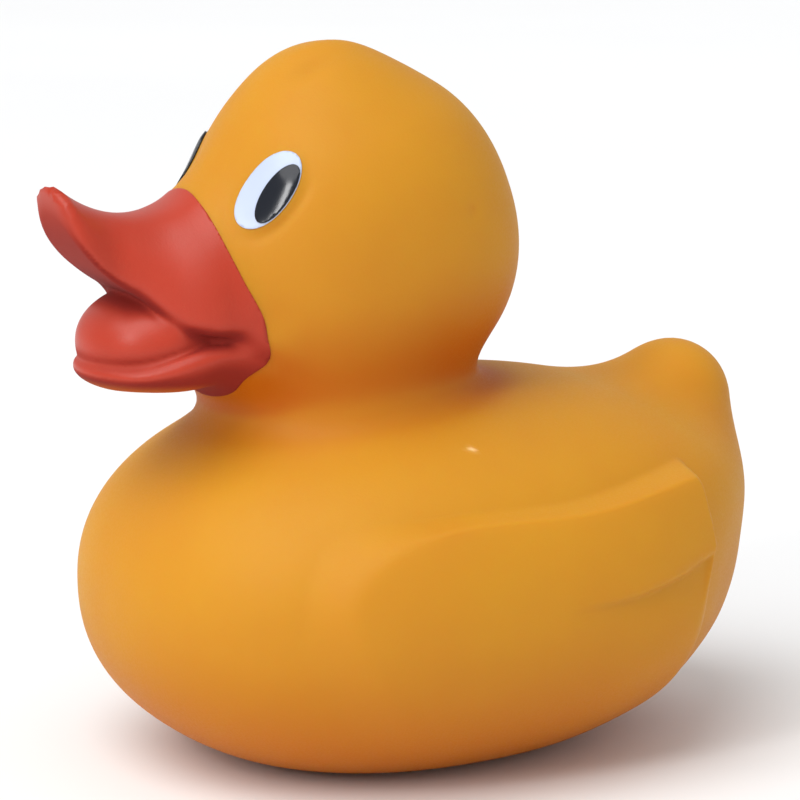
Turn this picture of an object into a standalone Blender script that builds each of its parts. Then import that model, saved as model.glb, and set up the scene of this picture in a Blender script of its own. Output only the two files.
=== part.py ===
"""A bath duck: one hollow moulding in soft vinyl, open through a squeak hole in its base.

The duck faces -Y with +Z up, and the origin is the centre of its flat base. The shape is a smooth
blend of rounded solids. Rough spheres are voxel remeshed into one skin, which then settles onto
the blend. Sizes are in millimetres and the mesh is made in metres.
"""

import math

import bmesh
import bpy
import numpy as np
from mathutils import Matrix

MM = 0.001

# The body. A blob is (centre, radii, tilt about X in degrees, roundness power).
TORSO = ((0.0, 0.2, 30.1), (44.7, 52.8, 31.1), 2.1, 2.24)
RUMP = ((0.0, 28.8, 42.2), (31.0, 27.9, 13.0), 0.0, 2.1)
HEAD = ((0.0, -9.8, 85.2), (24.4, 26.3, 26.9), 20.5, 2.2)
CROWN = ((0.0, -15.2, 103.6), (10.9, 10.9, 10.9), 0.0, 2.0)
JOWL = ((0.0, -18.0, 75.6), (20.0, 20.0, 20.0), 0.0, 2.0)

# A cone has round ends: (start, end, start radius, end radius).
TAIL = ((0.0, 38.3, 29.8), (0.0, 51.4, 53.8), 19.4, 8.9)
TAIL_WIDENING = 1.1
NECK = ((0.0, -14.3, 45.0), (0.0, -14.3, 76.0), 15.5, 15.0)

# The bill. The palate is an elliptical scoop along X: (y, z, radius in y, radius in z).
PALATE = (-29.5, 96.5, 32.1, 22.0)
LIP_DROOP = 4.0
LIP_ROLL = 2.2
BILL_TIP_WIDTH = 7.9
BILL_ROOT_WIDTH = 16.3
BILL_TIP_LENGTH = 6.8
BILL_FLARE_START = -54.3
BILL_FLARE_END = -38.0
RIDGE_LOW_POINT = (-47.8, 91.3)
RIDGE_CURVE = 0.0312
LOWER_BILL_WIDTH = 15.8
LOWER_BILL_CENTRE = -41.0
LOWER_BILL_LENGTH = 16.0
LOWER_BILL_BACK = -24.0
LOWER_RIM_HEIGHT = 68.4
LOWER_RIM_RISE = 3.4
LOWER_BILL_DEPTH = 5.0
TONGUE = ((0.0, -41.8, 71.0), (13.0, 14.2, 9.0), 0.0, 2.0)

# The wings, raised from the flanks, each with one feather crease.
WING_FRONT = -30.0
WING_BACK = 37.2
WING_TOP = 46.6
WING_LIFT = 1.5
WING_TIP_LIFT = 1.9
CREASE_HEIGHT = 31.2
CREASE_STEP = 0.9

# The moulding.
WALL = 2.4
BASE_TRIM = 1.3
SQUEAK_HOLE_RADIUS = 3.0
SQUEAK_HOLE_Y = 16.0
ROUGH_VOXEL = 2.2
SKIN_VOXEL = 1.0
SKIN_FACES = 7200
EVENING = 0.7
CAVITY_VOXEL = 6.5
VINYL_COLOR = (0.75, 0.33, 0.03, 1.0)
VINYL_ROUGHNESS = 0.42


def smooth_min(a, b, k):
    """The smaller of two fields, blended over a width k."""
    h = np.clip(0.5 + 0.5 * (b - a) / k, 0.0, 1.0)
    return b + (a - b) * h - k * h * (1.0 - h)


def smooth_max(a, b, k):
    return -smooth_min(-a, -b, k)


def ramp(value, start, end):
    """0 before start, 1 after end, and smooth between."""
    t = np.clip((value - start) / (end - start), 0.0, 1.0)
    return t * t * (3.0 - 2.0 * t)


def blob(p, centre, radii, tilt, power):
    """Near-distance to a superellipsoid."""
    x, y, z = (p - np.array(centre)).T
    c, s = math.cos(math.radians(tilt)), math.sin(math.radians(tilt))
    radii = np.array(radii)
    a = np.abs(np.stack([x, y * c + z * s, z * c - y * s], 1)) / radii
    size = np.maximum((a**power).sum(1) ** (1.0 / power), 1e-6)
    slope = np.sqrt(((a ** (power - 1.0) / radii) ** 2).sum(1)) / size ** (power - 1.0)
    return (size - 1.0) / np.maximum(slope, 1e-6)


def arch(a, a_radius, b, b_radius, power):
    """Near-distance to a superellipse in two lengths that are never negative."""
    u, v = a / a_radius, b / b_radius
    size = np.maximum((u**power + v**power) ** (1.0 / power), 1e-3)
    slope = np.sqrt((u ** (power - 1.0) / a_radius) ** 2 + (v ** (power - 1.0) / b_radius) ** 2)
    return (size - 1.0) / np.maximum(slope / size ** (power - 1.0), 1e-2)


def cone(p, start, end, start_radius, end_radius):
    """Distance to a cone with round ends."""
    a = np.array(start)
    along = np.array(end) - a
    length2 = along @ along
    taper = start_radius - end_radius
    y = (p - a) @ along
    z = y - length2
    x2 = (((p - a) * length2 - y[:, None] * along) ** 2).sum(1)
    y2, z2 = y * y * length2, z * z * length2
    k = taper * abs(taper) * x2
    a2 = length2 - taper * taper
    side = (np.sqrt(x2 * a2 / length2) + y * taper) / length2 - start_radius
    top = np.sqrt(x2 + z2) / length2 - end_radius
    foot = np.sqrt(x2 + y2) / length2 - start_radius
    past_end = np.sign(z) * a2 * z2 > k
    before_start = np.sign(y) * a2 * y2 < k
    return np.where(past_end, top, np.where(before_start, foot, side))


def wing_height(p):
    """How far the wing stands above the flank, for each place on it."""
    y, z = p[:, 1], p[:, 2]
    top_edge = WING_TOP + 3.4 * ramp(y, 5.0, 42.0) - 2.0 * ramp(-y, 6.0, 30.0) - z
    front_edge = y - WING_FRONT - 0.02 * np.clip(36.0 - z, 0.0, 40.0) ** 2
    back_edge = WING_BACK - y - 0.14 * np.abs(z - 38.0)
    inset = smooth_min(smooth_min(top_edge, front_edge, 12.0), back_edge, 2.0)
    soft = 2.2 + 5.0 * ramp(-y, 10.0, 30.0) + 5.0 * ramp(-z, -38.0, -24.0)
    lift = (WING_LIFT + WING_TIP_LIFT * ramp(y, -10.0, 36.0)) * ramp(z, 6.0, 30.0)
    height = lift * ramp(inset, -0.5 * soft, 0.5 * soft)
    below = CREASE_HEIGHT + 0.0035 * np.clip(y - 6.0, 0.0, 40.0) ** 2 - z
    step = ramp(y, 4.0, 26.0) * ramp(below, -0.2, 1.6) * (1.0 - ramp(below, 2.0, 14.0))
    height = height - CREASE_STEP * step * ramp(inset, -1.0, 3.0)
    return height * ramp(np.abs(p[:, 0]), 12.0, 22.0)


def plain_torso(p):
    widened = p / np.array([TAIL_WIDENING, 1.0, 1.0])
    d = smooth_min(blob(p, *TORSO), blob(p, *RUMP), 10.0)
    return smooth_min(d, cone(widened, *TAIL), 9.0)


def with_head(torso, p):
    """The flat base, the neck and the head added to a torso."""
    d = smooth_max(torso, -p[:, 2], 5.0)
    d = smooth_min(d, cone(p, *NECK), 12.0)
    head = smooth_min(blob(p, *HEAD), blob(p, *CROWN), 8.0)
    head = smooth_min(head, blob(p, *JOWL), 6.0)
    return smooth_min(d, head, 8.0)


def upper_bill(p):
    """A dome over a scooped palate, flared at its root and upturned at its tip."""
    x, y, z = np.abs(p[:, 0]), p[:, 1], p[:, 2]
    cy, cz, a, b = PALATE
    flare = ramp(y, BILL_FLARE_START, BILL_FLARE_END)
    width = BILL_TIP_WIDTH + (BILL_ROOT_WIDTH - BILL_TIP_WIDTH) * flare
    droop = LIP_DROOP * ramp(y, -52.5, -45.5) - 1.1 * ramp(y, -46.0, -31.0)
    lowered = droop * np.clip(x / width, 0.0, 1.3) ** 2
    ey, ez = (y - cy) / a, (z + lowered - cz) / b
    e = np.sqrt(ey**2 + ez**2)
    slope = np.sqrt((ey / a) ** 2 + (ez / b) ** 2)
    palate = (e - 1.0) * e / np.maximum(slope, 1e-6)
    ridge = RIDGE_LOW_POINT[1] + RIDGE_CURVE * (y - RIDGE_LOW_POINT[0]) ** 2
    lip = cz - b * np.sqrt(1.0 - np.clip(ey, -1.0, 1.0) ** 2) - droop
    rise = np.maximum(ridge - lip, 2.0)
    dome = arch(x, width, np.maximum(z - lip, 0.0), rise, 2.0)
    past_flare = np.clip(-55.0 - y, 0.0, 9.0)
    dome = smooth_max(dome, arch(x, width, past_flare, BILL_TIP_LENGTH, 3.0), 1.5)
    dome = smooth_max(dome, (z - ridge) * 0.8, 1.5)
    return smooth_max(dome, palate, 1.0 + LIP_ROLL * ramp(y, -56.0, -42.0))


def lower_bill(p):
    """A shallow cup under a rim that rises to the corners of the mouth, with the tongue in it."""
    x, y, z = np.abs(p[:, 0]), p[:, 1], p[:, 2]
    rim = LOWER_RIM_HEIGHT + LOWER_RIM_RISE * ramp(y, -53.0, -38.0)
    depth = LOWER_BILL_DEPTH + 2.4 * ramp(y, -52.0, -40.0) + 1.7 * ramp(y, -40.0, -30.0)
    forward = np.clip(LOWER_BILL_CENTRE - y, 0.0, 30.0)
    plan = np.sqrt(x**2 + (forward * LOWER_BILL_WIDTH / LOWER_BILL_LENGTH) ** 2)
    cup = arch(plan, LOWER_BILL_WIDTH, np.maximum(rim - z, 0.0), depth, 2.6)
    cup = smooth_max(smooth_max(cup, z - rim, 2.4), y - LOWER_BILL_BACK, 2.4)
    return smooth_min(cup, blob(p, *TONGUE), 0.8)


def duck_field(p):
    """Negative inside the duck, positive outside."""
    body = with_head(plain_torso(p) - wing_height(p), p)
    return np.minimum(smooth_min(body, upper_bill(p), 5.0), smooth_min(body, lower_bill(p), 5.0))


def cavity_field(p):
    """The hollow, a wall's thickness inside the plain body and head."""
    return with_head(plain_torso(p), p) + WALL


def slopes(field, p):
    """The field's gradient by central differences."""
    reach = 0.05
    steps = np.eye(3) * reach
    return np.stack([field(p + step) - field(p - step) for step in steps], 1) / (2.0 * reach)


def settle(mesh, field, rounds):
    """Slides the mesh's vertices onto the field's zero surface, and evens them out along it."""
    co = np.empty(len(mesh.vertices) * 3)
    mesh.vertices.foreach_get("co", co)
    co = co.reshape(-1, 3) / MM
    edges = np.empty(len(mesh.edges) * 2, np.int32)
    mesh.edges.foreach_get("vertices", edges)
    first, second = edges.reshape(-1, 2).T
    valence = np.bincount(edges, minlength=len(co))[:, None]
    for step in range(rounds):
        slope = slopes(field, co)
        steepness = np.maximum(np.linalg.norm(slope, axis=1, keepdims=True), 0.2)
        normal = slope / steepness
        co -= normal * np.clip(field(co)[:, None] / steepness, -1.5, 1.5)
        if step < rounds - 3:
            total = np.zeros_like(co)
            np.add.at(total, first, co[second])
            np.add.at(total, second, co[first])
            pull = total / valence - co
            co += 0.5 * (pull - EVENING * normal * (pull * normal).sum(1, keepdims=True))
    mesh.vertices.foreach_set("co", (co * MM).ravel())
    mesh.update()


def add_lump(bm, centre, radii):
    bmesh.ops.create_icosphere(
        bm,
        subdivisions=3,
        radius=MM,
        matrix=Matrix.Translation([c * MM for c in centre]) @ Matrix.Diagonal((*radii, 1.0)),
    )


def add_body_lumps(bm, shrink):
    """Overlapping spheres that roughly fill the body and the head."""
    for centre, radii, _, _ in (TORSO, RUMP, HEAD, CROWN, JOWL):
        add_lump(bm, centre, [r - shrink for r in radii])
    for start, end, start_radius, end_radius in (TAIL, NECK):
        add_lump(bm, start, [start_radius - shrink] * 3)
        add_lump(bm, end, [end_radius - shrink] * 3)
        middle = [(s + e) / 2 for s, e in zip(start, end)]
        add_lump(bm, middle, [(start_radius + end_radius) / 2 - shrink] * 3)


def add_bill_lumps(bm):
    """Overlapping spheres that roughly fill the two halves of the bill."""
    for y, z, radii in (
        (-34.0, 83.0, (14.0, 7.0, 9.5)),
        (-41.0, 82.5, (12.0, 6.0, 8.5)),
        (-46.5, 84.5, (9.0, 5.0, 6.5)),
        (-52.0, 87.0, (7.0, 4.0, 5.0)),
        (-56.0, 90.0, (6.5, 3.0, 4.5)),
        (-59.0, 92.5, (5.0, 2.0, 3.5)),
        (-41.5, 67.0, (15.0, 15.0, 3.2)),
        (-33.0, 67.0, (14.5, 8.0, 5.0)),
        (-42.5, 69.5, (11.0, 12.0, 7.5)),
    ):
        add_lump(bm, (0.0, y, z), radii)


def object_from(bm, name):
    mesh = bpy.data.meshes.new(name)
    bm.to_mesh(mesh)
    bm.free()
    obj = bpy.data.objects.new(name, mesh)
    bpy.context.scene.collection.objects.link(obj)
    return obj


def apply_modifiers(obj):
    bpy.context.view_layer.update()
    evaluated = obj.evaluated_get(bpy.context.evaluated_depsgraph_get())
    finished = bpy.data.meshes.new_from_object(evaluated)
    obj.modifiers.clear()
    obj.data = finished


def reskin(obj, voxel):
    """One closed, even skin round whatever the object holds."""
    remesh = obj.modifiers.new("Remesh", "REMESH")
    remesh.mode = "VOXEL"
    remesh.voxel_size = voxel * MM
    apply_modifiers(obj)


def thin_out(obj, faces):
    """Collapses the flattest edges until the skin has about this many triangles."""
    triangles = sum(len(polygon.vertices) - 2 for polygon in obj.data.polygons)
    decimate = obj.modifiers.new("Decimate", "DECIMATE")
    decimate.ratio = faces / triangles
    apply_modifiers(obj)


def vinyl():
    material = bpy.data.materials.new("duck_vinyl")
    material.use_nodes = True
    shader = material.node_tree.nodes["Principled BSDF"]
    shader.inputs["Base Color"].default_value = VINYL_COLOR
    shader.inputs["Roughness"].default_value = VINYL_ROUGHNESS
    shader.inputs["Metallic"].default_value = 0.0
    return material


def trim_base(mesh):
    """Cuts the underside to one flat face and sets it on z = 0."""
    bm = bmesh.new()
    bm.from_mesh(mesh)
    bmesh.ops.bisect_plane(
        bm,
        geom=bm.verts[:] + bm.edges[:] + bm.faces[:],
        plane_co=(0.0, 0.0, BASE_TRIM * MM),
        plane_no=(0.0, 0.0, 1.0),
        clear_inner=True,
    )
    rim = [edge for edge in bm.edges if edge.is_boundary]
    bmesh.ops.edgeloop_fill(bm, edges=rim)
    bmesh.ops.translate(bm, vec=(0.0, 0.0, -BASE_TRIM * MM), verts=bm.verts)
    bmesh.ops.recalc_face_normals(bm, faces=bm.faces)
    bm.to_mesh(mesh)
    bm.free()


def make_skin():
    bm = bmesh.new()
    add_body_lumps(bm, 0.0)
    add_bill_lumps(bm)
    duck = object_from(bm, "duck")
    reskin(duck, ROUGH_VOXEL)
    settle(duck.data, duck_field, 16)
    reskin(duck, SKIN_VOXEL)
    settle(duck.data, duck_field, 12)
    thin_out(duck, SKIN_FACES)
    trim_base(duck.data)
    duck.data.materials.append(vinyl())
    duck.data.polygons.foreach_set("use_smooth", [True] * len(duck.data.polygons))
    return duck


def make_cavity():
    bm = bmesh.new()
    add_body_lumps(bm, WALL)
    cavity = object_from(bm, "cavity_cutter")
    reskin(cavity, CAVITY_VOXEL)
    settle(cavity.data, cavity_field, 24)
    return cavity


def make_squeak_hole():
    bm = bmesh.new()
    bmesh.ops.create_cone(
        bm,
        cap_ends=True,
        segments=24,
        radius1=SQUEAK_HOLE_RADIUS * MM,
        radius2=SQUEAK_HOLE_RADIUS * MM,
        depth=4.0 * WALL * MM,
        matrix=Matrix.Translation((0.0, SQUEAK_HOLE_Y * MM, 0.0)),
    )
    return object_from(bm, "squeak_hole_cutter")


def cut(target, cutter):
    """Takes the cutter's shape out of the target, and hides the cutter."""
    cutter.hide_render = True
    cutter.display_type = "WIRE"
    boolean = target.modifiers.new(cutter.name, "BOOLEAN")
    boolean.operation = "DIFFERENCE"
    boolean.solver = "EXACT"
    boolean.object = cutter


def main():
    for obj in list(bpy.data.objects):
        bpy.data.objects.remove(obj, do_unlink=True)
    duck = make_skin()
    cut(duck, make_cavity())
    cut(duck, make_squeak_hole())


if __name__ == "__main__":
    main()
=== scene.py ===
"""A bath duck in soft yellow vinyl, with a sprayed red bill and printed eyes.

The moulding starts as a few rough spheres. Voxel remeshing joins them into one skin, and the skin
then settles onto a smooth blend of rounded solids. The paint of the bill and the print of the
eyes are thin films lifted from that skin. Lengths in the shape are in millimetres, and the meshes
are in metres.
"""

import math

import bmesh
import bpy
import numpy as np
from bpy.props import FloatProperty, FloatVectorProperty, PointerProperty
from mathutils import Matrix, Vector


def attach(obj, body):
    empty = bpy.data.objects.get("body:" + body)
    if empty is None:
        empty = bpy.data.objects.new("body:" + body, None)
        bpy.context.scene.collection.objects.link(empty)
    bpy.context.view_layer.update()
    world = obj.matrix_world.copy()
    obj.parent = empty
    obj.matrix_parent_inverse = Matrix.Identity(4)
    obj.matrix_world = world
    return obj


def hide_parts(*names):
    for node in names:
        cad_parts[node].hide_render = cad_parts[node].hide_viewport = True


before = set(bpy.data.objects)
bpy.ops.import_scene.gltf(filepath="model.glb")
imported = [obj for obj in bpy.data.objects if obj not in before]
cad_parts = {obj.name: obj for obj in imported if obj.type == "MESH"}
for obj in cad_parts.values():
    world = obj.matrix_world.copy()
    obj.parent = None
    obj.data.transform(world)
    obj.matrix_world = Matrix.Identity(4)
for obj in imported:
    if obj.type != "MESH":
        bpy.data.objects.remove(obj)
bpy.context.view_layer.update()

bl_info = {
    "name": "Bath Duck",
    "version": (1, 0, 0),
    "blender": (4, 5, 0),
    "location": "3D View > Sidebar > Duck",
    "description": "Builds a soft vinyl bath duck with a painted bill and printed eyes",
    "category": "Add Mesh",
}

MM = 0.001
BASE_TRIM = 1.3  # millimetres

# A blob is (centre, radii, tilt about X in degrees, roundness power).
TORSO = ((0.0, 0.2, 30.1), (44.7, 52.8, 31.1), 2.1, 2.24)
RUMP = ((0.0, 28.8, 42.2), (31.0, 27.9, 13.0), 0.0, 2.1)
HEAD = ((0.0, -9.8, 85.2), (24.4, 26.3, 26.9), 20.5, 2.2)
CROWN = ((0.0, -14.6, 104.0), (10.9, 10.9, 10.9), 0.0, 2.0)
JOWL = ((0.0, -18.0, 75.6), (20.0, 20.0, 20.0), 0.0, 2.0)
TONGUE = ((0.0, -41.6, 70.8), (12.8, 14.2, 9.0), 0.0, 2.1)

# A cone has round ends: (start, end, start radius, end radius).
TAIL = ((0.0, 38.3, 29.8), (0.0, 51.4, 53.8), 19.4, 8.9)
TAIL_WIDENING = 1.1
NECK = ((0.0, -14.3, 45.0), (0.0, -14.3, 76.0), 15.5, 15.0)

# The palate is an elliptical scoop along X: (y, z, radius in y, radius in z).
PALATE = (-29.5, 96.5, 32.1, 22.0)

# The ridge of the upper bill is a parabola through its low point (y, z).
RIDGE_LOW_POINT = (-47.8, 91.3)
RIDGE_CURVE = 0.0312
BILL_ROOT = -30.5
LIP_DROOP = 3.8
LIP_ROLL = 1.1

# The lower bill: half width at the front, the middle of its round front, and its back.
LOWER_BILL_WIDTH = 15.3
LOWER_BILL_CENTRE = -41.0
LOWER_BILL_BACK = -24.0
LOWER_RIM_HEIGHT = 68.4
LOWER_RIM_RISE = 3.4
TONGUE_FOOT = 67.0

# Edges of a wing, and the crease near its tip.
WING_FRONT = -33.0
WING_BACK = 35.2
WING_TOP = 46.6
WING_TIP_LIFT = 1.9
CREASE_HEIGHT = 32.8
CREASE_STEP = 1.1

# The border of the bill's paint: half width, height of its corners, and reach above and below them.
PAINT_HALF_WIDTH = 17.1
PAINT_CORNER_HEIGHT = 72.2
PAINT_ABOVE = 21.9
PAINT_BELOW = 10.6

# Half width and half height of the printed white and pupil, and how far the pupils sit off centre.
WHITE_SIZE = (4.15, 6.9)
PUPIL_SIZE = (2.25, 5.2)
PUPIL_SHIFT_LEFT = 1.8
PUPIL_SHIFT_RIGHT = -2.4

SQUEAK_HOLE_RADIUS = 3.0
SQUEAK_HOLE_Y = 16.0

# An eye's centre on the duck's left, and the way that it faces.
EYE_CENTRE = (14.2, -30.7, 95.2)
EYE_OUTWARD = (0.62, -0.74, 0.26)
EYE_LEAN = -33.0


class DuckSettings(bpy.types.PropertyGroup):
    """Sizes and colours of the duck."""

    vinyl_color: FloatVectorProperty(
        name="Vinyl",
        description="Colour of the vinyl in full light",
        default=(0.585, 0.26, 0.014),
        subtype="COLOR",
        min=0.0,
        max=1.0,
    )
    # Painted shade: the vinyl is mixed towards this deeper colour in folds, on undersides and low
    # on the body, where shade falls.
    vinyl_shade_color: FloatVectorProperty(
        name="Vinyl Shade",
        description="Colour that light takes on inside the vinyl",
        default=(0.48, 0.10, 0.0),
        subtype="COLOR",
        min=0.0,
        max=1.0,
    )
    bill_color: FloatVectorProperty(
        name="Bill Paint",
        description="Colour of the sprayed bill",
        default=(0.43, 0.034, 0.012),
        subtype="COLOR",
        min=0.0,
        max=1.0,
    )
    # The white print's colour, with a painted blue sky reflection mixed into it.
    eye_white_and_sky_color: FloatVectorProperty(
        name="Eye White",
        description="Colour of the printed white of the eyes",
        default=(0.50, 0.57, 0.73),
        subtype="COLOR",
        min=0.0,
        max=1.0,
    )
    pupil_color: FloatVectorProperty(
        name="Pupil",
        description="Colour of the printed pupils",
        default=(0.006, 0.008, 0.014),
        subtype="COLOR",
        min=0.0,
        max=1.0,
    )
    wing_lift: FloatProperty(
        name="Wing Lift",
        description="How far the front of a wing stands above the flank",
        default=2.1 * MM,
        unit="LENGTH",
        min=0.0,
    )
    paint_thickness: FloatProperty(
        name="Paint Thickness",
        description="Thickness of the paint and print above the vinyl",
        default=0.16 * MM,
        unit="LENGTH",
        min=0.0,
    )
    skin_voxel: FloatProperty(
        name="Skin Voxel",
        description="Spacing of the skin's points",
        default=1.0 * MM,
        unit="LENGTH",
        min=0.5 * MM,
    )


# Fields: negative inside a solid, positive outside, in millimetres.


def smooth_min(a, b, k):
    h = np.clip(0.5 + 0.5 * (b - a) / k, 0.0, 1.0)
    return b + (a - b) * h - k * h * (1.0 - h)


def smooth_max(a, b, k):
    return -smooth_min(-a, -b, k)


def ramp(value, start, end):
    """0 before start, 1 after end, and smooth between."""
    t = np.clip((value - start) / (end - start), 0.0, 1.0)
    return t * t * (3.0 - 2.0 * t)


def bump(p, centre, reach):
    """1 at a centre, fading to 0 over a reach."""
    return np.exp(-(((p - np.array(centre)) / reach) ** 2).sum(1))


def blob(p, centre, radii, tilt, power):
    """Near-distance to a superellipsoid."""
    x, y, z = (p - np.array(centre)).T
    c, s = math.cos(math.radians(tilt)), math.sin(math.radians(tilt))
    radii = np.array(radii)
    a = np.abs(np.stack([x, y * c + z * s, z * c - y * s], 1)) / radii
    size = np.maximum((a**power).sum(1) ** (1.0 / power), 1e-6)
    slope = np.sqrt(((a ** (power - 1.0) / radii) ** 2).sum(1)) / size ** (power - 1.0)
    return (size - 1.0) / np.maximum(slope, 1e-6)


def cone(p, start, end, start_radius, end_radius):
    """Distance to a cone with round ends."""
    a = np.array(start)
    along = np.array(end) - a
    length2 = along @ along
    taper = start_radius - end_radius
    y = (p - a) @ along
    z = y - length2
    x2 = (((p - a) * length2 - y[:, None] * along) ** 2).sum(1)
    y2, z2 = y * y * length2, z * z * length2
    k = taper * abs(taper) * x2
    a2 = length2 - taper * taper
    side = (np.sqrt(x2 * a2 / length2) + y * taper) / length2 - start_radius
    top = np.sqrt(x2 + z2) / length2 - end_radius
    foot = np.sqrt(x2 + y2) / length2 - start_radius
    past_end = np.sign(z) * a2 * z2 > k
    before_start = np.sign(y) * a2 * y2 < k
    return np.where(past_end, top, np.where(before_start, foot, side))


def arch(a, a_radius, b, b_radius, power):
    """Near-distance to a superellipse in two lengths that are never negative."""
    u, v = a / a_radius, b / b_radius
    size = np.maximum((u**power + v**power) ** (1.0 / power), 1e-3)
    slope = np.sqrt((u ** (power - 1.0) / a_radius) ** 2 + (v ** (power - 1.0) / b_radius) ** 2)
    return (size - 1.0) / np.maximum(slope / size ** (power - 1.0), 1e-2)


def wing_height(p, lift):
    """How far the wing stands above the flank."""
    y, z = p[:, 1], p[:, 2]
    top_edge = WING_TOP + 3.4 * ramp(y, 5.0, 42.0) - 2.0 * ramp(-y, 6.0, 30.0) - z
    front_edge = y - WING_FRONT - 0.02 * np.clip(36.0 - z, 0.0, 40.0) ** 2
    back_edge = WING_BACK - y - 0.14 * np.abs(z - 38.0)
    inset = smooth_min(smooth_min(top_edge, front_edge, 15.0), back_edge, 2.0)
    soft = 1.7 + 3.2 * ramp(-y, 10.0, 30.0) + 5.0 * ramp(-z, -38.0, -24.0)
    rise = (lift + WING_TIP_LIFT * ramp(y, -10.0, 36.0)) * ramp(z, 6.0, 30.0)
    height = rise * ramp(inset, -0.5 * soft, 0.5 * soft)
    below = CREASE_HEIGHT + 0.0057 * np.clip(y - 6.0, 0.0, 40.0) ** 2 - z
    step = ramp(y, 1.0, 22.0) * ramp(below, -0.2, 1.3) * (1.0 - ramp(below, 2.0, 14.0))
    height = height - CREASE_STEP * step * ramp(inset, -1.0, 3.0)
    return height * ramp(np.abs(p[:, 0]), 12.0, 22.0)


def torso_field(p, lift):
    """The body, rump and tail, with the wings raised from the flanks."""
    widened = p / np.array([TAIL_WIDENING, 1.0, 1.0])
    d = smooth_min(blob(p, *TORSO), blob(p, *RUMP), 10.0)
    d = smooth_min(d, cone(widened, *TAIL), 9.0)
    return smooth_max(d - wing_height(p, lift), -p[:, 2], 5.0)


def eye_places(p):
    """How far each point is across, up and out from the nearer eye's centre."""
    q = np.stack([np.abs(p[:, 0]), p[:, 1], p[:, 2]], 1) - np.array(EYE_CENTRE)
    out = Vector(EYE_OUTWARD).normalized()
    across = Vector((0.0, 0.0, 1.0)).cross(out).normalized()
    up = out.cross(across)
    turn = Matrix.Rotation(math.radians(EYE_LEAN), 3, out)
    return q @ np.array(turn @ across), q @ np.array(turn @ up), q @ np.array(out)


def eye_boss(p):
    """A low oval boss under each eye, with a shallow moat behind and below it."""
    across, up, out = eye_places(p)
    near = ramp(-np.abs(out), -9.0, -5.0)
    oval = np.sqrt((across / 4.7) ** 2 + (up / 7.4) ** 2)
    boss = 0.25 * (1.0 - ramp(oval, 0.85, 1.1))
    moat = 0.25 * np.exp(-(((oval - 1.18) / 0.14) ** 2)) * ramp(across - up, -4.0, 4.0)
    return near * (boss - moat)


def head_field(p):
    """The head, with a flattened brow, a small fold on the crown and a dimple at the back."""
    d = smooth_min(blob(p, *HEAD), blob(p, *CROWN), 8.0)
    d = smooth_min(d, blob(p, *JOWL), 6.0)
    tuft = 0.5 * bump(p, (2.5, -13.0, 114.5), (2.4, 6.0, 4.0))
    dent = 0.7 * bump(p, (6.0, -18.5, 112.0), (2.2, 4.0, 4.0))
    spot = 0.35 * bump(p, (22.1, 0.2, 90.8), 1.1)
    mirrored = np.stack([np.abs(p[:, 0]), p[:, 1], p[:, 2]], 1)
    brow = 1.2 * bump(mirrored, (8.5, -33.0, 97.0), 6.0)
    return d - eye_boss(p) - tuft + dent + spot + brow


def upper_bill(p):
    """A dome over a scooped palate, flared at its root and upturned at its tip."""
    x, y, z = np.abs(p[:, 0]), p[:, 1], p[:, 2]
    cy, cz, a, b = PALATE
    width = 7.9 + 8.4 * ramp(y, -54.3, -38.0)
    droop = LIP_DROOP * ramp(y, -50.5, -43.5) - LIP_ROLL * ramp(y, -46.0, -31.0)
    lowered = droop * np.clip(x / width, 0.0, 1.3) ** 2
    ey, ez = (y - cy) / a, (z + lowered - cz) / b
    e = np.sqrt(ey**2 + ez**2)
    slope = np.sqrt((ey / a) ** 2 + (ez / b) ** 2)
    palate = (e - 1.0) * e / np.maximum(slope, 1e-6)
    ridge = RIDGE_LOW_POINT[1] + RIDGE_CURVE * (y - RIDGE_LOW_POINT[0]) ** 2
    lip = cz - b * np.sqrt(1.0 - np.clip(ey, -1.0, 1.0) ** 2) - droop
    rise = np.maximum(ridge - lip, 2.0)
    dome = arch(x, width, np.maximum(z - lip, 0.0), rise, 2.0)
    past_flare = np.clip(-55.0 - y, 0.0, 9.0)
    dome = smooth_max(dome, arch(x, width, past_flare, 6.8, 2.5), 1.5)
    dome = smooth_max(dome, (z - ridge) * 0.8, 1.5)
    solid = smooth_max(dome, palate, 1.0 + 2.2 * ramp(y, -56.0, -42.0))
    return smooth_max(solid, y - BILL_ROOT, 2.0)


def lower_bill(p):
    """A shallow cup under a rim that rises to the corners of the mouth, with the tongue in it."""
    x, y, z = np.abs(p[:, 0]), p[:, 1], p[:, 2]
    rim = LOWER_RIM_HEIGHT + LOWER_RIM_RISE * ramp(y, -53.0, -38.0)
    depth = 5.0 + 2.6 * ramp(y, -52.0, -40.0) + 1.6 * ramp(y, -40.0, -30.0)
    plan = np.sqrt(x**2 + np.clip(LOWER_BILL_CENTRE - y, 0.0, 30.0) ** 2)
    width = LOWER_BILL_WIDTH + 0.5 * ramp(y, -50.0, -40.0)
    cup = arch(plan, width, np.maximum(rim - z, 0.0), depth, 3.0)
    cup = smooth_max(smooth_max(cup, z - rim, 2.4), y - LOWER_BILL_BACK, 2.4)
    tongue = smooth_max(blob(p, *TONGUE), TONGUE_FOOT - z, 1.0)
    return smooth_min(cup, tongue, 0.8)


def duck_field(p):
    """The whole moulding."""
    lift = bpy.context.scene.duck_settings.wing_lift / MM
    body = smooth_min(torso_field(p, lift), cone(p, *NECK), 12.0)
    body = smooth_min(body, head_field(p), 8.0)
    upper = smooth_min(body, upper_bill(p), 5.0)
    lower = smooth_min(body, lower_bill(p), 5.0)
    return smooth_min(upper, lower, 1.5)


# Outlines of the paint and the print: negative inside, positive outside.


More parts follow.
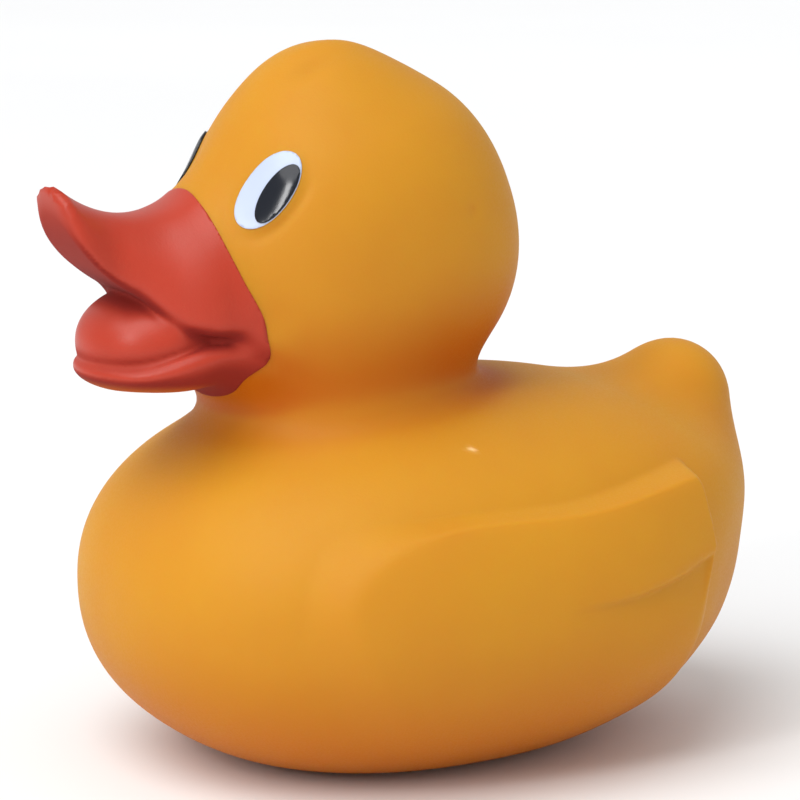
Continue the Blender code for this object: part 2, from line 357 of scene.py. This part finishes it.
def bill_outline(p):
    """A rounded arch over the bill, seen from in front."""
    x, y, z = np.abs(p[:, 0]) / PAINT_HALF_WIDTH, p[:, 1], p[:, 2]
    above = np.maximum(z - PAINT_CORNER_HEIGHT, 0.0) / PAINT_ABOVE
    below = np.maximum(PAINT_CORNER_HEIGHT - z, 0.0) / PAINT_BELOW
    root = 12.0 * (np.sqrt(x**2 + above**2 + below**2.1) - 1.0)
    front = np.maximum(y + 39.5, 61.0 - z)
    return np.maximum(np.minimum(root, front), y - LOWER_BILL_BACK)


def eye_white_outline(p):
    """A leaning oval round each eye's centre."""
    across, up, out = eye_places(p)
    oval = np.hypot(across / WHITE_SIZE[0], up / WHITE_SIZE[1]) - 1.0
    return np.maximum(oval * 5.0, np.abs(out) - 6.0)


def pupil_outline(p):
    """Both pupils look to the duck's left: one sits back in its white, the other forward."""
    across, up, out = eye_places(p)
    shift = np.where(p[:, 0] > 0.0, PUPIL_SHIFT_LEFT, PUPIL_SHIFT_RIGHT)
    across = across - shift + 0.05 * up
    oval = np.hypot(across / PUPIL_SIZE[0], (up - 0.5) / PUPIL_SIZE[1]) - 1.0
    return np.maximum(oval * 4.0, np.abs(out) - 6.0)


# Mesh tools.


def points_of(mesh):
    co = np.empty(len(mesh.vertices) * 3)
    mesh.vertices.foreach_get("co", co)
    return co.reshape(-1, 3) / MM


def slopes(field, p):
    """The field's gradient by central differences."""
    reach = 0.03
    steps = np.eye(3) * reach
    return np.stack([field(p + step) - field(p - step) for step in steps], 1) / (2.0 * reach)


def settle(mesh, field, rounds):
    """Slides the mesh's points onto the field's zero surface, and evens them out along it."""
    co = points_of(mesh)
    edges = np.empty(len(mesh.edges) * 2, np.int32)
    mesh.edges.foreach_get("vertices", edges)
    first, second = edges.reshape(-1, 2).T
    valence = np.bincount(edges, minlength=len(co))[:, None]
    for step in range(rounds):
        slope = slopes(field, co)
        steepness = np.maximum(np.linalg.norm(slope, axis=1, keepdims=True), 0.2)
        normal = slope / steepness
        co -= normal * np.clip(field(co)[:, None] / steepness, -1.5, 1.5)
        if step < rounds - 2:
            total = np.stack(
                [
                    np.bincount(first, co[second, k], len(co))
                    + np.bincount(second, co[first, k], len(co))
                    for k in range(3)
                ],
                1,
            )
            pull = total / valence - co
            co += 0.5 * (pull - 0.7 * normal * (pull * normal).sum(1, keepdims=True))
    mesh.vertices.foreach_set("co", (co * MM).ravel())
    mesh.update()


def object_from(bm, name):
    mesh = bpy.data.meshes.new(name)
    bm.to_mesh(mesh)
    bm.free()
    obj = bpy.data.objects.new(name, mesh)
    bpy.context.scene.collection.objects.link(obj)
    return obj


def apply_modifiers(obj):
    bpy.context.view_layer.update()
    evaluated = obj.evaluated_get(bpy.context.evaluated_depsgraph_get())
    finished = bpy.data.meshes.new_from_object(evaluated)
    obj.modifiers.clear()
    obj.data = finished


def reskin(obj, voxel):
    """One closed, even skin round whatever the object holds."""
    remesh = obj.modifiers.new("Remesh", "REMESH")
    remesh.mode = "VOXEL"
    remesh.voxel_size = voxel
    apply_modifiers(obj)


def smooth_shaded(obj):
    obj.data.polygons.foreach_set("use_smooth", [True] * len(obj.data.polygons))
    obj.data.update()


def add_lump(bm, centre, radii):
    place = Matrix.Translation([c * MM for c in centre])
    bmesh.ops.create_icosphere(
        bm, subdivisions=4, radius=MM, matrix=place @ Matrix.Diagonal((*radii, 1.0))
    )


def rough_duck():
    """Overlapping spheres that roughly fill the duck."""
    bm = bmesh.new()
    for centre, radii, _, _ in (TORSO, RUMP, HEAD, CROWN, JOWL):
        add_lump(bm, centre, radii)
    for start, end, start_radius, end_radius in (TAIL, NECK):
        middle = [(s + e) / 2 for s, e in zip(start, end)]
        add_lump(bm, start, [start_radius] * 3)
        add_lump(bm, middle, [(start_radius + end_radius) / 2] * 3)
        add_lump(bm, end, [end_radius] * 3)
    for y, z, radii in (
        (-34.0, 83.0, (14.0, 7.0, 9.5)),
        (-41.0, 82.5, (12.0, 6.0, 8.5)),
        (-46.5, 84.5, (9.0, 5.0, 6.5)),
        (-52.0, 87.0, (7.0, 4.0, 5.0)),
        (-56.0, 90.0, (6.5, 3.0, 4.5)),
        (-59.0, 92.5, (5.0, 2.0, 3.5)),
        (-41.5, 67.0, (15.0, 15.0, 3.2)),
        (-33.0, 67.0, (14.5, 8.0, 5.0)),
        (-42.5, 69.5, (11.0, 12.0, 7.5)),
    ):
        add_lump(bm, (0.0, y, z), radii)
    return bm


def refine(mesh, near):
    """Halves the edges of every face that lies near a feature."""
    bm = bmesh.new()
    bm.from_mesh(mesh)
    bm.verts.ensure_lookup_table()
    wanted = near(points_of(mesh))
    edges = [e for e in bm.edges if wanted[e.verts[0].index] and wanted[e.verts[1].index]]
    bmesh.ops.subdivide_edges(bm, edges=edges, cuts=1, use_grid_fill=True)
    bmesh.ops.triangulate(bm, faces=[f for f in bm.faces if len(f.verts) > 4])
    bm.to_mesh(mesh)
    bm.free()


def near_bill(p):
    return (p[:, 1] < -33.0) & (p[:, 2] > 58.0) & (p[:, 2] < 100.0)


def near_eye(p):
    across, up, out = eye_places(p)
    return (np.hypot(across, up) < 10.0) & (np.abs(out) < 8.0)


def near_wing_edge(p):
    x, y, z = np.abs(p[:, 0]), p[:, 1], p[:, 2]
    top = (np.abs(z - 47.0) < 5.0) & (y > -16.0) & (y < 42.0)
    back = (np.abs(y - 35.5) < 4.0) & (z > 18.0) & (z < 52.0)
    crease = (np.abs(z - 32.0) < 3.0) & (y > 2.0) & (y < 40.0)
    return (x > 18.0) & (top | back | crease)


def film_from(skin, name, outline, lift, sink):
    """A thin closed film over the part of the skin that lies inside an outline."""
    bm = bmesh.new()
    bm.from_mesh(skin.data)
    bmesh.ops.triangulate(bm, faces=bm.faces)
    bm.verts.ensure_lookup_table()
    level = outline(points_of(skin.data))
    crossing = [e for e in bm.edges if level[e.verts[0].index] * level[e.verts[1].index] < 0.0]
    place = bm.verts.layers.float.new("level")
    for vert in bm.verts:
        vert[place] = level[vert.index]
    ends = {}
    for edge in crossing:
        a, b = edge.verts
        t = a[place] / (a[place] - b[place])
        ends[edge] = a.co.lerp(b.co, t)
    for edge, co in ends.items():
        _, vert = bmesh.utils.edge_split(edge, edge.verts[0], 0.5)
        vert.co = co
        vert[place] = 0.0
    for face in list(bm.faces):
        cut = [v for v in face.verts if v[place] == 0.0]
        if len(cut) == 2 and len(face.verts) > 3:
            bmesh.utils.face_split(face, cut[0], cut[1])
    outside = [f for f in bm.faces if sum(v[place] for v in f.verts) > 0.0]
    bmesh.ops.delete(bm, geom=outside, context="FACES")
    bm.normal_update()
    top = list(bm.faces)
    normals = {v: v.normal.copy() for v in bm.verts}
    for vert, normal in normals.items():
        vert.co += normal * lift
    bmesh.ops.solidify(bm, geom=top, thickness=lift + sink)
    bmesh.ops.recalc_face_normals(bm, faces=bm.faces)
    return object_from(bm, name)


# Materials.


def new_material(name):
    material = bpy.data.materials.new(name)
    material.use_nodes = True
    return material, material.node_tree.nodes, material.node_tree.links


def principled(nodes):
    return nodes["Principled BSDF"]


def mixed_color(nodes, links, factor, first, second):
    """A colour that goes from the first to the second as the factor goes from 0 to 1."""
    mix = nodes.new("ShaderNodeMix")
    mix.data_type = "RGBA"
    links.new(factor, mix.inputs["Factor"])
    for socket, color in ((mix.inputs["A"], first), (mix.inputs["B"], second)):
        if isinstance(color, bpy.types.NodeSocket):
            links.new(color, socket)
        else:
            socket.default_value = (*color, 1.0)
    return mix.outputs["Result"]


def noise(nodes, links, scale, detail, roughness=0.5):
    """Cloudy noise in the duck's own space; scale is in cycles a metre."""
    place = nodes.new("ShaderNodeTexCoord")
    texture = nodes.new("ShaderNodeTexNoise")
    texture.inputs["Scale"].default_value = scale
    texture.inputs["Detail"].default_value = detail
    texture.inputs["Roughness"].default_value = roughness
    links.new(place.outputs["Object"], texture.inputs["Vector"])
    return texture.outputs["Fac"]


def mapped(nodes, links, value, low, high, to_low, to_high):
    node = nodes.new("ShaderNodeMapRange")
    node.interpolation_type = "SMOOTHSTEP"
    node.inputs["From Min"].default_value = low
    node.inputs["From Max"].default_value = high
    node.inputs["To Min"].default_value = to_low
    node.inputs["To Max"].default_value = to_high
    links.new(value, node.inputs["Value"])
    return node.outputs["Result"]


def attribute(nodes, name):
    node = nodes.new("ShaderNodeAttribute")
    node.attribute_name = name
    return node.outputs["Fac"]


def bumped(nodes, links, height, strength, distance):
    node = nodes.new("ShaderNodeBump")
    node.inputs["Strength"].default_value = strength
    node.inputs["Distance"].default_value = distance
    links.new(height, node.inputs["Height"])
    links.new(node.outputs["Normal"], principled(nodes).inputs["Normal"])


def vinyl_material(settings):
    """Soft, slightly translucent yellow vinyl with faint clouding and fine grain, with painted
    shade and a painted highlight in its colour.
    """
    material, nodes, links = new_material("yellow_vinyl")
    shader = principled(nodes)
    clouds = mapped(nodes, links, noise(nodes, links, 38.0, 3.0), 0.3, 0.7, 0.0, 0.35)
    deep = [0.9 * v for v in settings.vinyl_color]
    deep[1] *= 0.82
    color = mixed_color(nodes, links, clouds, settings.vinyl_color, deep)
    # Painted shade: the colour deepens in folds, on undersides and low on the body.
    painted_shade = mapped(nodes, links, attribute(nodes, "painted_shade"), 0.0, 1.0, 0.0, 0.9)
    color = mixed_color(nodes, links, painted_shade, color, settings.vinyl_shade_color)
    # A painted highlight: a pale spot on the left shoulder below the neck.
    painted_highlight = attribute(nodes, "painted_highlight")
    color = mixed_color(nodes, links, painted_highlight, color, (0.95, 0.62, 0.28))
    links.new(color, shader.inputs["Base Color"])
    shader.inputs["Subsurface Weight"].default_value = 0.35
    shader.inputs["Subsurface Radius"].default_value = (1.0, 0.38, 0.05)
    shader.inputs["Subsurface Scale"].default_value = 6.0 * MM
    shader.inputs["IOR"].default_value = 1.5
    shader.inputs["Specular IOR Level"].default_value = 0.18
    grain = noise(nodes, links, 2600.0, 2.0)
    links.new(mapped(nodes, links, grain, 0.3, 0.7, 0.48, 0.60), shader.inputs["Roughness"])
    bumped(nodes, links, grain, 0.16, 0.1 * MM)
    return material


def bill_material(settings):
    """Sprayed red paint that thins to bare orange vinyl under the lower bill, with painted shade in
    its folds and on its undersides.
    """
    material, nodes, links = new_material("red_bill_paint")
    shader = principled(nodes)
    clouds = mapped(nodes, links, noise(nodes, links, 120.0, 3.0), 0.3, 0.7, 0.0, 0.3)
    thin = [1.2 * v for v in settings.bill_color]
    color = mixed_color(nodes, links, clouds, settings.bill_color, thin)
    # Painted shade: the red goes darker in folds and on the bill's undersides.
    painted_shade = mapped(nodes, links, attribute(nodes, "painted_shade"), 0.0, 1.0, 0.0, 0.9)
    color = mixed_color(nodes, links, painted_shade, color, (0.20, 0.006, 0.002))
    bare = attribute(nodes, "bare")
    # The bare vinyl under the bill is given the vinyl's painted-shade colour.
    color = mixed_color(nodes, links, bare, color, settings.vinyl_shade_color)
    links.new(color, shader.inputs["Base Color"])
    shader.inputs["Subsurface Weight"].default_value = 0.12
    shader.inputs["Subsurface Radius"].default_value = (1.0, 0.1, 0.05)
    shader.inputs["Subsurface Scale"].default_value = 2.0 * MM
    shader.inputs["Specular IOR Level"].default_value = 0.36
    grain = noise(nodes, links, 3200.0, 2.0)
    dull = mapped(nodes, links, attribute(nodes, "painted_shade"), 0.1, 0.6, 0.38, 0.85)
    links.new(dull, shader.inputs["Roughness"])
    bumped(nodes, links, grain, 0.22, 0.1 * MM)
    return material


def print_material(name, color, roughness):
    """Smooth printed ink with a faint unevenness."""
    material, nodes, links = new_material(name)
    shader = principled(nodes)
    clouds = mapped(nodes, links, noise(nodes, links, 300.0, 2.0), 0.3, 0.7, 0.0, 0.2)
    shade = [0.88 * v for v in color]
    links.new(mixed_color(nodes, links, clouds, color, shade), shader.inputs["Base Color"])
    shader.inputs["Roughness"].default_value = roughness
    shader.inputs["Specular IOR Level"].default_value = 0.35
    bumped(nodes, links, noise(nodes, links, 900.0, 2.0), 0.05, 0.1 * MM)
    return material


def floor_material():
    material, nodes, links = new_material("pale_floor")
    shader = principled(nodes)
    fade = mapped(nodes, links, noise(nodes, links, 3.0, 2.0), 0.3, 0.7, 0.0, 1.0)
    color = mixed_color(nodes, links, fade, (0.87, 0.87, 0.87), (0.89, 0.89, 0.89))
    links.new(color, shader.inputs["Base Color"])
    shader.inputs["Roughness"].default_value = 0.6
    shader.inputs["Specular IOR Level"].default_value = 0.2
    return material


# Marks kept on the mesh for the materials: painted shade, bare vinyl and a painted highlight.


def painted_shade_amount(p):
    """Painted shade: 1 in folds, and less on undersides and low on the body, where shade falls."""
    slope = slopes(duck_field, p)
    normal = slope / np.maximum(np.linalg.norm(slope, axis=1, keepdims=True), 1e-6)
    # Painted shade, darker towards the bottom of the body.
    darkness = 0.7 * (1.0 - ramp(p[:, 2], 2.0, 40.0))
    # Painted shadow on the downward faces of the bill and head.
    darkness += 0.7 * ramp(-normal[:, 2], -0.2, 0.6) * ramp(p[:, 2], 50.0, 60.0)
    # Painted shade in folds, darker the closer the skin lies ahead of the surface.
    for reach, weight in ((1.2, 0.4), (3.0, 0.55), (6.0, 0.5)):
        darkness += weight * np.clip(1.0 - duck_field(p + normal * reach) / reach, 0.0, 1.0)
    return np.clip(darkness, 0.0, 1.0)


def bare_under_bill(p):
    """1 where the spray didn't reach, under the front of the lower bill."""
    y, z = p[:, 1], p[:, 2]
    under = 1.0 - ramp(z, 64.2, 66.2)
    return under * ramp(-y, 38.5, 44.0) * 0.9


def painted_highlight_spot(p):
    """1 at a small painted highlight on the duck's left shoulder, below the neck."""
    return np.clip(1.6 * bump(p, (29.8, -3.8, 54.7), 0.5), 0.0, 1.0)


def store(mesh, name, values):
    layer = mesh.attributes.new(name, "FLOAT", "POINT")
    layer.data.foreach_set("value", np.ascontiguousarray(values, np.float32))


def lower_onto_floor(obj):
    """Sets the trimmed base on z = 0."""
    obj.data.transform(Matrix.Translation((0.0, 0.0, -BASE_TRIM * MM)))


def trim_base(mesh):
    bm = bmesh.new()
    bm.from_mesh(mesh)
    bmesh.ops.bisect_plane(
        bm,
        geom=bm.verts[:] + bm.edges[:] + bm.faces[:],
        plane_co=(0.0, 0.0, BASE_TRIM * MM),
        plane_no=(0.0, 0.0, 1.0),
        clear_inner=True,
    )
    rim = [edge for edge in bm.edges if edge.is_boundary]
    bmesh.ops.edgeloop_fill(bm, edges=rim)
    bmesh.ops.recalc_face_normals(bm, faces=bm.faces)
    bmesh.ops.triangulate(bm, faces=[f for f in bm.faces if len(f.verts) > 4])
    bm.to_mesh(mesh)
    bm.free()


def finish_piece(piece, material):
    """Gives a piece its material and its place in the shared frame."""
    piece.data.materials.clear()
    piece.data.materials.append(material)
    smooth_shaded(piece)
    lower_onto_floor(piece)
    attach(piece, "root")
    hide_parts("duck")


def bare_skin():
    """The whole outer skin, before its base is trimmed. The films are lifted from it too."""
    skin = bpy.data.objects.get("duck_skin_pattern")
    if skin is None:
        settings = bpy.context.scene.duck_settings
        skin = object_from(rough_duck(), "duck_skin_pattern")
        reskin(skin, 2.0 * settings.skin_voxel)
        settle(skin.data, duck_field, 14)
        reskin(skin, settings.skin_voxel)
        settle(skin.data, duck_field, 12)
        refine(skin.data, lambda p: near_bill(p) | near_eye(p) | near_wing_edge(p))
        settle(skin.data, duck_field, 10)
    return skin


class DUCK_OT_moulding(bpy.types.Operator):
    """Adds the yellow vinyl moulding, with its wings, eye bosses and squeak hole"""

    bl_idname = "duck.moulding"
    bl_label = "Vinyl Moulding"
    bl_options = {"REGISTER", "UNDO"}

    def execute(self, context):
        settings = context.scene.duck_settings
        piece = bare_skin().copy()
        piece.data = piece.data.copy()
        piece.name = "duck_moulding"
        context.scene.collection.objects.link(piece)
        trim_base(piece.data)
        hole = bmesh.new()
        bmesh.ops.create_cone(
            hole,
            cap_ends=True,
            segments=48,
            radius1=SQUEAK_HOLE_RADIUS * MM,
            radius2=SQUEAK_HOLE_RADIUS * MM,
            depth=12.0 * MM,
            matrix=Matrix.Translation((0.0, SQUEAK_HOLE_Y * MM, BASE_TRIM * MM)),
        )
        cutter = object_from(hole, "squeak_hole_cutter")
        boolean = piece.modifiers.new("Squeak Hole", "BOOLEAN")
        boolean.operation = "DIFFERENCE"
        boolean.solver = "EXACT"
        boolean.object = cutter
        apply_modifiers(piece)
        bpy.data.objects.remove(cutter)
        p = points_of(piece.data)
        store(piece.data, "painted_shade", painted_shade_amount(p))
        store(piece.data, "painted_highlight", painted_highlight_spot(p))
        finish_piece(piece, vinyl_material(settings))
        return {"FINISHED"}


class DUCK_OT_bill_paint(bpy.types.Operator):
    """Adds the red paint sprayed over the bill"""

    bl_idname = "duck.bill_paint"
    bl_label = "Bill Paint"
    bl_options = {"REGISTER", "UNDO"}

    def execute(self, context):
        settings = context.scene.duck_settings
        lift = settings.paint_thickness
        piece = film_from(bare_skin(), "bill_paint", bill_outline, lift, 2.0 * lift)
        p = points_of(piece.data)
        store(piece.data, "painted_shade", painted_shade_amount(p))
        store(piece.data, "bare", bare_under_bill(p))
        finish_piece(piece, bill_material(settings))
        return {"FINISHED"}


class DUCK_OT_eyes(bpy.types.Operator):
    """Adds the printed whites and pupils of both eyes"""

    bl_idname = "duck.eyes"
    bl_label = "Printed Eyes"
    bl_options = {"REGISTER", "UNDO"}

    def execute(self, context):
        settings = context.scene.duck_settings
        lift = settings.paint_thickness
        # The white print's colour carries a painted blue sky reflection.
        white = print_material("white_eye_print", settings.eye_white_and_sky_color, 0.3)
        black = print_material("black_pupil_print", settings.pupil_color, 0.12)
        for side, name in ((1.0, "left"), (-1.0, "right")):

            def one_side(outline):
                return lambda p: np.maximum(outline(p), -side * p[:, 0])

            eye = film_from(
                bare_skin(), f"eye_white_{name}", one_side(eye_white_outline), lift, lift
            )
            finish_piece(eye, white)
            pupil = film_from(
                bare_skin(), f"pupil_{name}", one_side(pupil_outline), 2.2 * lift, lift
            )
            finish_piece(pupil, black)
        bpy.data.objects.remove(bare_skin())
        return {"FINISHED"}


def add_light(light, place, aim):
    obj = bpy.data.objects.new(light.name, light)
    obj.location = place
    obj.rotation_euler = (Vector(aim) - Vector(place)).to_track_quat("-Z", "Y").to_euler()
    bpy.context.scene.collection.objects.link(obj)


def around(azimuth, elevation, distance, target):
    """The point at a distance from a target, in the direction it is seen from."""
    a, e = math.radians(azimuth), math.radians(elevation)
    way = Vector((math.cos(e) * math.sin(a), -math.cos(e) * math.cos(a), math.sin(e)))
    return Vector(target) + way * distance


class DUCK_OT_stage(bpy.types.Operator):
    """Adds the pale floor, the soft lights, the sky and the camera"""

    bl_idname = "duck.stage"
    bl_label = "Stage"
    bl_options = {"REGISTER", "UNDO"}

    def execute(self, context):
        bm = bmesh.new()
        bmesh.ops.create_grid(bm, x_segments=2, y_segments=2, size=3.0)
        floor = object_from(bm, "floor")
        floor.data.materials.append(floor_material())

        middle = (0.0, 0.0, 0.055)
        key = bpy.data.lights.new("key_light", "SUN")
        key.energy = 1.9
        key.angle = math.radians(50.0)
        add_light(key, around(20.0, 60.0, 1.0, middle), middle)
        window = bpy.data.lights.new("window_light", "AREA")
        window.shape = "RECTANGLE"
        window.size, window.size_y = 0.11, 0.34
        window.energy = 2.2
        add_light(window, around(24.0, 26.0, 1.0, middle), middle)

        world = bpy.data.worlds.new("pale_room")
        world.use_nodes = True
        background = world.node_tree.nodes["Background"]
        background.inputs["Color"].default_value = (0.98, 0.99, 1.0, 1.0)
        background.inputs["Strength"].default_value = 0.65
        context.scene.world = world

        camera = bpy.data.cameras.new("camera")
        camera.sensor_width = 36.0
        camera.lens = 166.7
        camera.shift_x = -0.0026
        camera.shift_y = 0.002
        view = bpy.data.objects.new("camera", camera)
        target = Vector((0.0, 0.0, (57.0 - BASE_TRIM) * MM))
        view.location = around(62.0, 11.08, 0.6, target)
        view.rotation_euler = (target - view.location).to_track_quat("-Z", "Y").to_euler()
        context.scene.collection.objects.link(view)
        context.scene.camera = view
        context.scene.view_settings.view_transform = "Standard"
        return {"FINISHED"}


class DUCK_PT_panel(bpy.types.Panel):
    """Lists the duck's pieces and sizes"""

    bl_label = "Bath Duck"
    bl_idname = "DUCK_PT_panel"
    bl_space_type = "VIEW_3D"
    bl_region_type = "UI"
    bl_category = "Duck"

    def draw(self, context):
        for name in DuckSettings.__annotations__:
            self.layout.prop(context.scene.duck_settings, name)
        for operator in OPERATORS:
            self.layout.operator(operator.bl_idname)


OPERATORS = (DUCK_OT_moulding, DUCK_OT_bill_paint, DUCK_OT_eyes, DUCK_OT_stage)
CLASSES = (DuckSettings, *OPERATORS, DUCK_PT_panel)


def register():
    for cls in CLASSES:
        bpy.utils.register_class(cls)
    bpy.types.Scene.duck_settings = PointerProperty(type=DuckSettings)


def unregister():
    del bpy.types.Scene.duck_settings
    for cls in reversed(CLASSES):
        bpy.utils.unregister_class(cls)


def main():
    register()
    bpy.ops.duck.moulding()
    bpy.ops.duck.bill_paint()
    bpy.ops.duck.eyes()
    bpy.ops.duck.stage()


if __name__ == "__main__":
    main()
